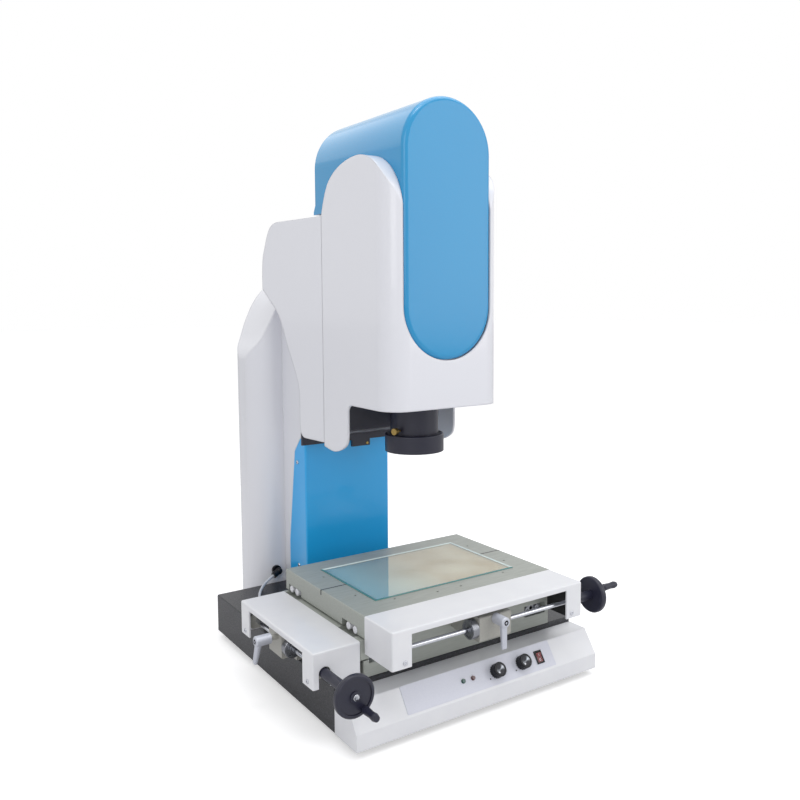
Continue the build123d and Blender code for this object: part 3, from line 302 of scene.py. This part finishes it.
ground_along_x = (0.08, 1, 1)
metal(
    "stage_grey", chart(166, 170, 164), chart(157, 161, 155), 0.4, 0.14, 420, 0.02 * MM,
    stretch=ground_along_x,
)
metal("steel", chart(150, 152, 158), chart(132, 134, 140), 0.3, 0.9, 500, 0.01 * MM)
metal("chrome", chart(206, 208, 214), chart(196, 198, 204), 0.14, 1.0, 300, 0)
metal("cast_silver", chart(200, 203, 213), chart(189, 192, 202), 0.42, 0.5, 900, 0.05 * MM)
metal("warm_grey", chart(170, 169, 163), chart(160, 159, 153), 0.45, 0.2, 700, 0.03 * MM)
metal("brass", chart(178, 152, 92), chart(160, 134, 78), 0.3, 0.9, 500, 0)
metal("iron", chart(92, 95, 100), chart(80, 83, 88), 0.6, 0.1, 350, 0.08 * MM)
metal("black_satin", chart(35, 36, 54), chart(29, 30, 46), 0.36, 0.0, 800, 0.02 * MM)
print("metals done")

# %% [markdown]
# **Plastics, rubber and film.** The knobs and the switch frame are glossy black plastic, the feet
# are rubber, and the control panel is a printed film with a silky skin. The rocker and the two
# lamps are tinted plastic that light enters, which a little transmission gives.

# %% Plastics, rubber and film
def plastic(name, colour, shade, roughness, scale, depth, coat=0.0):
    tree, shader = start_finish(name, colour, roughness, coat=coat)
    rough = grain(tree, scale, roughness - 0.04, roughness + 0.06)
    cover(tree, shader, grain(tree, scale, 0, 1), colour, shade, rough)
    if depth:
        relief(tree, shader, grain(tree, scale * 2, 0, 1, detail=1), depth)
    return shader


black = plastic("black_plastic", chart(14, 15, 22), chart(20, 21, 28), 0.16, 500, 0.01 * MM)
plastic("rubber", chart(34, 34, 36), chart(26, 26, 28), 0.75, 600, 0.06 * MM)
plastic("label_grey", chart(215, 217, 228), chart(211, 213, 225), 0.42, 400, 0.015 * MM)
plastic("cable_grey", chart(206, 208, 214), chart(198, 200, 207), 0.42, 500, 0.02 * MM)
plastic("led_board", chart(226, 228, 232), chart(214, 216, 222), 0.4, 300, 0)
plastic("white_print", chart(238, 239, 244), chart(228, 229, 236), 0.35, 500, 0)
plastic("black_print", chart(34, 34, 40), chart(26, 26, 32), 0.4, 500, 0)
tinted = (
    plastic("green_lamp", chart(38, 92, 84), chart(30, 78, 72), 0.15, 400, 0, coat=0.5),
    plastic("red_lamp", chart(96, 42, 50), chart(82, 34, 42), 0.15, 400, 0, coat=0.5),
    plastic("rocker_red", chart(132, 16, 32), chart(112, 12, 26), 0.2, 300, 0, coat=0.2),
)
for lens in tinted:
    lens.inputs["Transmission Weight"].default_value = 0.25
    lens.inputs["IOR"].default_value = 1.49
black.inputs["Specular IOR Level"].default_value = 0.22
print("plastics done")

# %% [markdown]
# A spun face has fine rings, and shines only where they lie across the light, in two opposite
# wedges. That shine is a painted highlight: each cap carries a per-point attribute, and the finish
# blends the cap's base colour from near black to light grey by it.

# %% Spun metal with a painted highlight
tree, shader = start_finish("spun_cap", chart(24, 25, 33), 0.3, metallic=0.4)
shine = tree.nodes.new("ShaderNodeAttribute")
shine.attribute_name = "painted_highlight"
# Painted highlight: the attribute blends the cap's base colour from near black to light grey.
spun_painted_highlight = tint(tree, shine.outputs["Fac"], chart(20, 21, 29), chart(186, 192, 200))
tree.links.new(spun_painted_highlight, shader.inputs["Base Color"])
tree.links.new(grain(tree, 900, 0.24, 0.36), shader.inputs["Roughness"])
print("spun metal done")

# %% [markdown]
# ** Glass.** The stage glass is clear on its faces and green-blue on its edges, where we look along
# the sheet through much more of it. The surface normal tells faces from edges. Its faces carry a
# warm, cloudy tint, so they aren't fully clear, and towards the left the tint turns to a cool tone,
# a painted reflection of the blue column beside it. Shadow rays pass straight through, so that the
# light still reaches the pieces below.

# %% Glass
# Painted reflection: where the glass's colour is all the cool tone of the blue column, and where it
# is all the warm tint.
blue_reflection_x, warm_tint_x = -0.14, 0.03  # where the haze is all cool, and where it is all warm
colour_b = 7  # the socket of a mix node's second colour


def glass_tint_and_reflection(tree, place, face, cloud, blue_reflection):
    across = tree.nodes.new("ShaderNodeSeparateXYZ")
    fade = tree.nodes.new("ShaderNodeMapRange")
    fade.inputs["From Min"].default_value = blue_reflection_x
    fade.inputs["From Max"].default_value = warm_tint_x
    tree.links.new(place.outputs["Object"], across.inputs["Vector"])
    tree.links.new(across.outputs["X"], fade.inputs["Value"])
    # The cool end of this blend is a painted reflection of the blue column.
    tint_and_reflection = tint(tree, fade.outputs["Result"], blue_reflection, face)
    warm = tint(tree, grain(tree, 11, 0, 1), face, cloud)
    tree.links.new(warm, tint_and_reflection.node.inputs[colour_b])
    return tint_and_reflection


def clear_glass(name, face, cloud, blue_reflection, edge, clear, ior):
    tree, shader = start_finish(name, face, 0.0)
    shader.inputs["Transmission Weight"].default_value = clear
    shader.inputs["IOR"].default_value = ior
    place = tree.nodes.new("ShaderNodeTexCoord")
    part = tree.nodes.new("ShaderNodeSeparateXYZ")
    steep = tree.nodes.new("ShaderNodeMath")
    steep.operation = "ABSOLUTE"
    flat = tree.nodes.new("ShaderNodeMath")
    flat.operation = "GREATER_THAN"
    flat.inputs[1].default_value = 0.9
    tree.links.new(place.outputs["Normal"], part.inputs["Vector"])
    tree.links.new(part.outputs["Z"], steep.inputs[0])
    tree.links.new(steep.outputs["Value"], flat.inputs[0])
    body = tint(tree, flat.outputs["Value"], edge, face)
    tree.links.new(glass_tint_and_reflection(tree, place, face, cloud, blue_reflection), body.node.inputs[colour_b])
    tree.links.new(body, shader.inputs["Base Color"])
    tree.links.new(grain(tree, 40, 0.0, 0.012), shader.inputs["Roughness"])
    ray = tree.nodes.new("ShaderNodeLightPath")
    through = tree.nodes.new("ShaderNodeBsdfTransparent")
    through.inputs["Color"].default_value = (0.93, 0.97, 0.96, 1)
    either = tree.nodes.new("ShaderNodeMixShader")
    output = tree.nodes["Material Output"]
    tree.links.new(ray.outputs["Is Shadow Ray"], either.inputs[0])
    tree.links.new(shader.outputs["BSDF"], either.inputs[1])
    tree.links.new(through.outputs["BSDF"], either.inputs[2])
    tree.links.new(either.outputs["Shader"], output.inputs["Surface"])


clear_glass(
    "glass", face=chart(240, 236, 216), cloud=chart(214, 202, 172), blue_reflection=chart(186, 222, 228),
    edge=chart(44, 120, 120), clear=0.64, ior=1.8,
)
clear_glass(
    "lens_glass", face=chart(226, 234, 246), cloud=chart(218, 228, 244),
    blue_reflection=chart(222, 232, 246), edge=chart(120, 150, 190), clear=1.0, ior=1.5,
)
plastic("glass_teal", chart(70, 128, 126), chart(58, 112, 112), 0.15, 300, 0.005 * MM)
plastic("glass_pale", chart(224, 236, 234), chart(214, 230, 228), 0.2, 300, 0.005 * MM)
print("glass done")

# %% [markdown]
# The CAD file names a finish for each node. We hand every node the Blender material of that name,
# and stop if one is missing, because a bare grey piece is easy to overlook.

# %% Dress the CAD nodes
for name, node in nodes.items():
    wanted = node.data.materials[0].name.split(".")[0]
    if wanted not in finishes:
        raise ValueError(f"{name} wants a finish named {wanted}")
    for i in range(len(node.data.materials)):
        node.material_slots[i].material = finishes[wanted]
cable.data.materials.append(finishes["cable_grey"])
print("dressed nodes:", len(nodes))

# %% [markdown]
# ## New pieces
# A piece is shaped in a bmesh, at its real place, and then kept as an object at the origin. This
# helper writes the mesh, gives it its finish, smooths the faces that meet at less than 35
# degrees, and lets it ride on the body that carries it. The polished edge of the glass has two
# finishes of its own.

# %% Keep a piece
sharp_angle = math.radians(35)
weld_gap = 1e-6


def keep_piece(shape, name, finish, body):
    bmesh.ops.remove_doubles(shape, verts=shape.verts[:], dist=weld_gap)
    bmesh.ops.recalc_face_normals(shape, faces=shape.faces[:])
    for face in shape.faces:
        face.smooth = True
    for edge in shape.edges:
        edge.smooth = not (edge.is_manifold and edge.calc_face_angle(0) > sharp_angle)
    mesh = bpy.data.meshes.new(name)
    shape.to_mesh(mesh)
    shape.free()
    mesh.materials.append(finishes[finish])
    piece = bpy.data.objects.new(name, mesh)
    bpy.context.scene.collection.objects.link(piece)
    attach(piece, body)
    return piece


# %% [markdown]
# Round pieces are turned, as on a lathe: half of the outline is drawn beside an axis, and spin
# takes it all the way round. The outline lists radius and height in millimetres, and `place` says
# where its axis stands.

# %% Turn a round piece
def turned(outline, place, steps=32):
    shape = bmesh.new()
    corners = [shape.verts.new((r * MM, 0, h * MM)) for r, h in outline]
    edges = [shape.edges.new(pair) for pair in zip(corners, corners[1:])]
    bmesh.ops.spin(
        shape, geom=corners + edges, cent=(0, 0, 0), axis=(0, 0, 1),
        angle=2 * math.pi, steps=steps, use_merge=True,
    )
    bmesh.ops.remove_doubles(shape, verts=shape.verts[:], dist=weld_gap)
    bmesh.ops.transform(shape, matrix=place, verts=shape.verts[:])
    return shape


def facing(point, direction):
    # A place whose height axis points along the direction.
    turn = Vector(direction).to_track_quat("Z", "Y").to_matrix().to_4x4()
    return Matrix.Translation(point) @ turn


print("lathe ready")

# %% [markdown]
# **The control panel's slope.** The panel leans back. Its own axes are right, up the slope and out
# of the slope, and a matrix made of them puts small pieces on it in plain panel millimetres.

# %% The slope's matrix
slope_foot, slope_top, slope_depth = 27.5, 67.7, 28.6
ridge = Vector((0, slope_depth, slope_top - slope_foot)).normalized()
outward = Vector((1, 0, 0)).cross(ridge)
slope = Matrix.Translation(at(0, 0, slope_foot)) @ Matrix((
    (1, 0, outward.x, 0),
    (0, ridge.y, outward.y, 0),
    (0, ridge.z, outward.z, 0),
    (0, 0, 0, 1),
))


def on_slope(x, up, out):
    return slope @ Matrix.Translation((x * MM, up * MM, out * MM))


print("the panel leans", round(math.degrees(math.acos(outward.z)), 1), "degrees from level")

# %% [markdown]
# ## Small pieces of the control panel
# Each dimmer knob has a spun metal cap let into its top, with a white dot as its pointer. A small
# black dot beside the knob marks where it starts. The cap is a very flat cone, and a painted
# highlight in its colour stands in for the shine of fine turned rings, a bright wedge and a faint
# one opposite, while its rim stays dark. CAD says where the knobs stand.

# %% Knob caps, pointers and start dots
def knob_axis(node):
    low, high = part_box(node)
    middle = (low + high) / 2
    near = slope.inverted() @ middle
    return near.x / MM, near.y / MM


def knob_top(node):
    verts = nodes[node].data.vertices
    return max((slope.inverted() @ v.co).z for v in verts) / MM


cap_outline = [(0, 0.2), (2, 0.15), (8.2, -0.1), (8.6, -0.5), (8.6, -0.7)]
pointer_outline = [(0, 0.3), (1.4, 0.25), (1.6, -0.1)]
start_outline = [(0, 0.06), (1.3, 0.05), (1.35, -0.05)]
pointer_shift, start_shift = (-4.4, -4.7), (-16, -9)
film_top = 1.2
# The direction, strength and spread of the painted highlight on the caps.
highlight_angle = math.radians(25)
bright_highlight, faint_highlight, highlight_power = 0.9, 0.35, 9
rim_height = -0.3 * MM


def add_painted_highlight(cap, place):
    # The painted highlight of a spun face depends on the direction round its axis alone.
    painted_highlight = cap.data.attributes.new("painted_highlight", "FLOAT", "POINT")
    from_place = place.inverted()
    for vert, value in zip(cap.data.vertices, painted_highlight.data):
        near = from_place @ vert.co
        across_light = math.cos(math.atan2(near.y, near.x) - highlight_angle)
        highlight_level = bright_highlight if across_light > 0 else faint_highlight
        value.value = abs(across_light) ** highlight_power * highlight_level * (near.z > rim_height)


for knob, body in (("surface_knob", "surface_dial"), ("contour_knob", "contour_dial")):
    across, up = knob_axis(knob)
    top = knob_top(knob)
    place = on_slope(across, up, top)
    cap = turned(cap_outline, place, 48)
    add_painted_highlight(keep_piece(cap, f"{knob}_cap", "spun_cap", body), place)
    dot_place = on_slope(across + pointer_shift[0], up + pointer_shift[1], top)
    dot = turned(pointer_outline, dot_place, 20)
    keep_piece(dot, f"{knob}_pointer", "white_print", body)
    mark_place = on_slope(across + start_shift[0], up + start_shift[1], film_top)
    mark = turned(start_outline, mark_place, 16)
    keep_piece(mark, f"{knob}_start_dot", "black_print", "base")
    print(knob, "stands at", round(across, 1), round(up, 1), "and its top at", round(top, 1))

# %% [markdown]
# The rocker carries the two usual marks, a bar for on and a ring for off. Its faces lean 8.3
# degrees each way from the middle, and the whole rocker leans 7 degrees about its pin, so the
# marks are placed through the same turns and sit a tenth of a millimetre proud.

# %% Marks on the rocker
rocker_pin = (128, 25.3, -1.0)
rocker_lean, face_lean = math.radians(7), math.radians(8.3)
mark_from_pin = Vector((0, 4.3, 4.05)) * MM
bar_size = Vector((0.6, 3.4, 0.24)) * MM
ring_outline = [(1.3, 0.1), (1.8, 0.1), (1.8, -0.1), (1.3, -0.1), (1.3, 0.1)]


def on_rocker(side):
    pin = on_slope(*rocker_pin) @ Matrix.Rotation(rocker_lean, 4, "X")
    lean = Matrix.Rotation(face_lean * side, 4, "X")
    shift = Matrix.Translation((0, side * mark_from_pin.y, mark_from_pin.z))
    return pin @ shift @ lean


bar = bmesh.new()
bmesh.ops.create_cube(bar, size=1.0)
bmesh.ops.scale(bar, vec=bar_size, verts=bar.verts[:])
bmesh.ops.transform(bar, matrix=on_rocker(1), verts=bar.verts[:])
keep_piece(bar, "rocker_on_bar", "white_print", "power_switch")
ring = turned(ring_outline, on_rocker(-1), 28)
keep_piece(ring, "rocker_off_ring", "white_print", "power_switch")
print("rocker marked")

# %% [markdown]
# ## Screws and glass that CAD leaves out
# A dark socket screw sits in the end of each clamp lever, a brass screw holds the tab of the plate
# behind the head, and the lens has its front glass. Each is turned on its own axis. A socket
# screw is a ring and a lower floor inside it, joined into one piece.

# %% Socket screws, tab screw and front glass
def socket_screw(radius, place):
    socket, bevel = radius * 0.5, radius * 0.85
    screw = turned([(socket, 0.5), (bevel, 0.5), (radius, 0.1), (radius, -0.6)], place, 36)
    floor = turned([(0, -0.2), (socket, -0.2), (socket, 0.5)], place, 36)
    mesh = bpy.data.meshes.new("socket_floor")
    floor.to_mesh(mesh)
    floor.free()
    screw.from_mesh(mesh)
    bpy.data.meshes.remove(mesh)
    return screw


for name, end, direction, body in (
    ("x_lever_screw", (7, -38.5, 157), (0, -1, 0), "x_clamp"),
    ("y_lever_screw", (-331.5, 211, 121), (-1, 0, 0), "y_clamp"),
):
    keep_piece(socket_screw(4.4, facing(at(*end), direction)), name, "black_plastic", body)
tab_outline = [(0, 1.4), (2.2, 1.4), (3, 0.8), (3, -0.4)]
tab_screw = turned(tab_outline, facing(at(32, 450, 388), (0, -1, 0)), 28)
keep_piece(tab_screw, "plate_tab_screw", "brass", "head")
glass_outline = [(0, 0.0), (9, -0.5), (13.9, -1.6), (13.9, -4), (0, -4)]
front_glass = turned(glass_outline, facing(at(0, 222, 432), (0, 0, -1)), 48)
keep_piece(front_glass, "objective_glass", "lens_glass", "head")
print("screws and front glass in place")

# %% [markdown]
# ## Small pieces of the stage
# Each rail of the x slide ends in a black plate and a long white cylinder, which show in the notch
# of the top plate. The black plate is painted shade for the dark gap above the rail, and the white
# cylinder a painted highlight for the bright end screw. The outer rail of a pair belongs to the
# middle plate and the inner one to the top plate, so they ride on different bodies. A box between
# two drawing corners makes the square pieces.

# %% Boxes between two corners
def box_piece(low, high, name, finish, body):
    shape = bmesh.new()
    bmesh.ops.create_cube(shape, size=1.0)
    near, far = at(*low), at(*high)
    bmesh.ops.scale(shape, vec=far - near, verts=shape.verts[:])
    bmesh.ops.translate(shape, vec=(near + far) / 2, verts=shape.verts[:])
    return keep_piece(shape, name, finish, body)


print("boxes ready")

# %% Ends of the x rails
rail_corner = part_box("x_rails_moving")[1]
plate_inset = 3.0
rail_end = rail_corner.x / MM + bench_middle[0] - plate_inset
shade_plate_top = rail_corner.z / MM + bench_middle[2]
shade_plate_bottom, shade_plate_half, shade_plate_thickness = 142.2, 10.6, 2.6
glint_height = 148.5
glint_outline = [(0, 11.6), (1.6, 11.6), (2.0, 12.4), (5.8, 12.4), (6.6, 11.6), (6.6, 0.5)]
# Painted shade and painted highlight: a black plate and a white cylinder at each rail end.
for rail, middle, glint_y, body in (
    ("outer_front", 104, 99.8, "y_stage"), ("inner_front", 128, 122.2, "x_stage"),
    ("inner_back", 310, 315.8, "x_stage"), ("outer_back", 334, 338.2, "y_stage"),
):
    for side, hand in (("left", -1), ("right", 1)):
        ends = sorted((hand * rail_end, hand * (rail_end + shade_plate_thickness)))
        low = (ends[0], middle - shade_plate_half, shade_plate_bottom)
        high = (ends[1], middle + shade_plate_half, shade_plate_top - 0.2)
        box_piece(low, high, f"x_rail_{rail}_{side}_shade_plate", "rubber", body)
        place = facing(at(hand * rail_end, glint_y, glint_height), (hand, 0, 0))
        painted_glint = turned(glint_outline, place, 32)
        keep_piece(painted_glint, f"x_rail_{rail}_{side}_buffer", "white_print", body)
print("x rails end at", round(rail_end, 1), "and their stops at", round(shade_plate_top, 1))

# %% [markdown]
# The slit beside the glass is filled with a black strip, painted shadow for the slit's dark gap,
# which stands a hair above the plate and runs down its left and right faces as a short hook. A
# black sheet at the right end of the x cover is painted shade for the dark inside of the cover.
# The glass stands a little proud, and its polished edge shows all round as a narrow band, inset
# and drawn up. Its two near sides look green-blue, and the two far sides pale.

# %% Painted shadow in the slit, painted shade in the x cover, and the glass's edge
# Painted shadow: a black strip fills the slit and its hook.
slit_front, slit_back = 215.9, 218.5
slit_shadow_top = 182.3
for side, hand in (("left", -1), ("right", 1)):
    for kind, inner, outer, bottom in (
        ("slit", 153.4, 203.2, 179.2), ("hook", 202.6, 203.3, 173.2),
    ):
        ends = sorted((hand * inner, hand * outer))
        low, high = (ends[0], slit_front, bottom), (ends[1], slit_back, slit_shadow_top)
        box_piece(low, high, f"{kind}_painted_slit_shadow_{side}", "black_print", "x_stage")
# Painted shade: a black sheet inside the right end of the x cover stands in for the dark shadow
# there.
box_piece((196.3, 18, 108.9), (199.9, 66.4, 178.8), "x_cover_painted_shade", "rubber", "x_stage")

glass_middle = 215
band_outline = (
    (153, 100, 182.2), (152.4, 99.4, 183.4), (149.4, 96.4, 183.4), (148.6, 95.6, 182.35),
)
for name, finish, sides in (("near", "glass_teal", (0, 3)), ("far", "glass_pale", (1, 2))):
    band = bmesh.new()
    levels = []
    for half_x, half_y, height in band_outline:
        corners = [(-half_x, -half_y), (half_x, -half_y), (half_x, half_y), (-half_x, half_y)]
        levels.append([band.verts.new(at(x, glass_middle + y, height)) for x, y in corners])
    for lower, upper in zip(levels, levels[1:] + levels[:1]):
        for i in sides:
            j = (i + 1) % 4
            band.faces.new((lower[i], lower[j], upper[j], upper[i]))
    loose = [corner for corner in band.verts if not corner.link_faces]
    bmesh.ops.delete(band, geom=loose, context="VERTS")
    keep_piece(band, f"glass_edge_{name}", finish, "x_stage")
print("painted_slit_shadow, foam and edge band in place")

# %% [markdown]
# ## Floor and light
# The picture's background is plain white. The floor catches the machine's soft shadow and shines a
# little for the camera alone, so that it reads white. The sky is white for the camera, for
# reflections and through glass, and gentler as a light.

# %% Floor
floor_mesh = bmesh.new()
bmesh.ops.create_grid(floor_mesh, x_segments=1, y_segments=1, size=20)
floor_data = bpy.data.meshes.new("studio_floor")
floor_mesh.to_mesh(floor_data)
floor_mesh.free()
floor = bpy.data.objects.new("studio_floor", floor_data)
bpy.context.scene.collection.objects.link(floor)
floor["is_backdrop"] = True
paper_glow = 0.45
paper = bpy.data.materials.new("studio_paper")
paper.use_nodes = True
tree = paper.node_tree
shader = tree.nodes["Principled BSDF"]
shader.inputs["Base Color"].default_value = (0.86, 0.86, 0.87, 1)
shader.inputs["Roughness"].default_value = 0.9
shader.inputs["Emission Color"].default_value = (1, 1, 1, 1)
ray = tree.nodes.new("ShaderNodeLightPath")
shine = tree.nodes.new("ShaderNodeMath")
shine.operation = "MULTIPLY"
shine.inputs[1].default_value = paper_glow
tree.links.new(ray.outputs["Is Camera Ray"], shine.inputs[0])
tree.links.new(shine.outputs["Value"], shader.inputs["Emission Strength"])
floor_data.materials.append(paper)
print("floor laid")

# %% Sky
sky_light, sky_seen = 0.62, 1.0
world = bpy.data.worlds.new("studio_sky")
bpy.context.scene.world = world
world.use_nodes = True
tree = world.node_tree
sky = tree.nodes["Background"]
sky.inputs["Color"].default_value = (1.0, 1.0, 1.0, 1)
ray = tree.nodes.new("ShaderNodeLightPath")
seen = tree.nodes.new("ShaderNodeMath")
seen.operation = "MAXIMUM"
clear = tree.nodes.new("ShaderNodeMath")
clear.operation = "MAXIMUM"
level = tree.nodes.new("ShaderNodeMapRange")
level.inputs["To Min"].default_value = sky_light
level.inputs["To Max"].default_value = sky_seen
tree.links.new(ray.outputs["Is Camera Ray"], seen.inputs[0])
tree.links.new(ray.outputs["Is Glossy Ray"], seen.inputs[1])
tree.links.new(seen.outputs["Value"], clear.inputs[0])
tree.links.new(ray.outputs["Is Transmission Ray"], clear.inputs[1])
tree.links.new(clear.outputs["Value"], level.inputs["Value"])
tree.links.new(level.outputs["Result"], sky.inputs["Strength"])
print("sky set")

# %% [markdown]
# Three soft boxes shape the machine: a large one above, one at the front left and a weaker one at
# the front right. They are wide, so shadows stay soft and the gloss shows broad, calm lights. A
# fourth, behind the head, shows as a pale band along the top of the hood, and a narrow strip above
# draws crisp lines on the rounded edges.

# %% Soft boxes
def soft_box(name, place, target, width, height, power):
    data = bpy.data.lights.new(name, "AREA")
    data.shape = "RECTANGLE"
    data.size = width
    data.size_y = height
    data.energy = power
    lamp = bpy.data.objects.new(name, data)
    lamp.location = place
    lamp.rotation_euler = (Vector(target) - Vector(place)).to_track_quat("-Z", "Y").to_euler()
    bpy.context.scene.collection.objects.link(lamp)


bench, head_middle = (0, 0, 0.4), (-0.09, 0, 0.95)
soft_box("box_above", (0.3, -0.4, 2.6), (0, 0, 0.3), 2.2, 2.0, 24)
soft_box("box_front_left", (-2.2, -1.9, 1.6), bench, 1.4, 1.8, 13)
soft_box("box_front_right", (1.9, -2.2, 1.3), bench, 1.4, 1.8, 12)
soft_box("box_behind", (-0.36, 1.24, 1.69), (-0.07, -0.08, 0.97), 1.3, 0.74, 1.6)
soft_box("strip_above", (-0.3, -0.75, 2.3), head_middle, 0.5, 0.1, 2.4)
bpy.context.scene.view_settings.view_transform = "Standard"
print("four soft boxes and a strip")

# %% [markdown]
# Last, the machine's box is measured over every piece that is shown, and printed.

# %% The machine's box
low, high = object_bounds()
print("visual box:", tuple(low), tuple(high))
